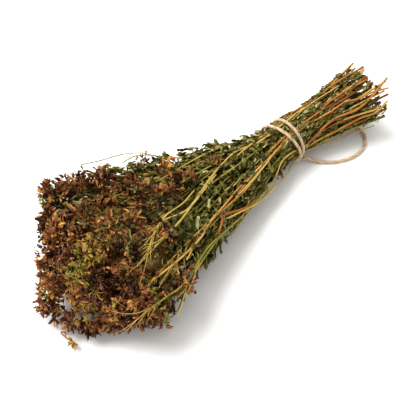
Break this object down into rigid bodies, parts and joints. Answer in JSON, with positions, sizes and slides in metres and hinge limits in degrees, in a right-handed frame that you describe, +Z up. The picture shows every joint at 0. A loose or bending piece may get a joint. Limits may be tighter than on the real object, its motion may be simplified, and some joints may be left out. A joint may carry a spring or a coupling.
{
  "type": "st johns wort bundle",
  "caption": "Bunch of dried flowering stems lying on its side, fanned out at the heads and at the cut ends, bound near the cut ends by jute twine whose slack lies in a loose loop.",
  "frame": {"origin": "middle of the bunch's footprint, on the surface that it lies on", "axes": "+X towards the cut ends and -X towards the flower heads, +Y across the bunch, +Z up from the surface that it lies on"},
  "size_m": [0.4146, 0.1919, 0.0973],
  "materials": {
    "dry_stem_and_leaf": "matte dried straw and leaf",
    "dry_flowers": "matte dried petals, buds and capsules",
    "jute": "twisted jute fibre"
  },
  "bodies": {
    "root": {"twine_tie": "jute", "twine_loop": "jute", "inner_stems_and_leaves": "dry_stem_and_leaf", "stem_11": "dry_stem_and_leaf", "stem_12": "dry_stem_and_leaf", "stem_13": "dry_stem_and_leaf", "stem_14": "dry_stem_and_leaf", "stem_15": "dry_stem_and_leaf", "stem_16": "dry_stem_and_leaf", "stem_17": "dry_stem_and_leaf", "stem_18": "dry_stem_and_leaf", "stem_19": "dry_stem_and_leaf", "stem_20": "dry_stem_and_leaf", "stem_21": "dry_stem_and_leaf", "stem_22": "dry_stem_and_leaf", "stem_23": "dry_stem_and_leaf", "stem_24": "dry_stem_and_leaf", "stem_25": "dry_stem_and_leaf", "stem_26": "dry_stem_and_leaf", "stem_27": "dry_stem_and_leaf", "stem_28": "dry_stem_and_leaf", "flower_head_02": "dry_flowers", "flower_head_05": "dry_flowers", "flower_head_07": "dry_flowers", "flower_head_09": "dry_flowers", "flower_head_10": "dry_flowers", "flower_head_11": "dry_flowers", "flower_head_12": "dry_flowers", "flower_head_13": "dry_flowers", "flower_head_14": "dry_flowers", "flower_head_15": "dry_flowers", "flower_head_16": "dry_flowers", "flower_head_17": "dry_flowers", "flower_head_19": "dry_flowers", "flower_head_20": "dry_flowers", "flower_head_21": "dry_flowers", "flower_head_22": "dry_flowers", "flower_head_23": "dry_flowers", "flower_head_24": "dry_flowers", "flower_head_26": "dry_flowers", "flower_head_27": "dry_flowers", "flower_head_28": "dry_flowers"}
  },
  "joints": []
}
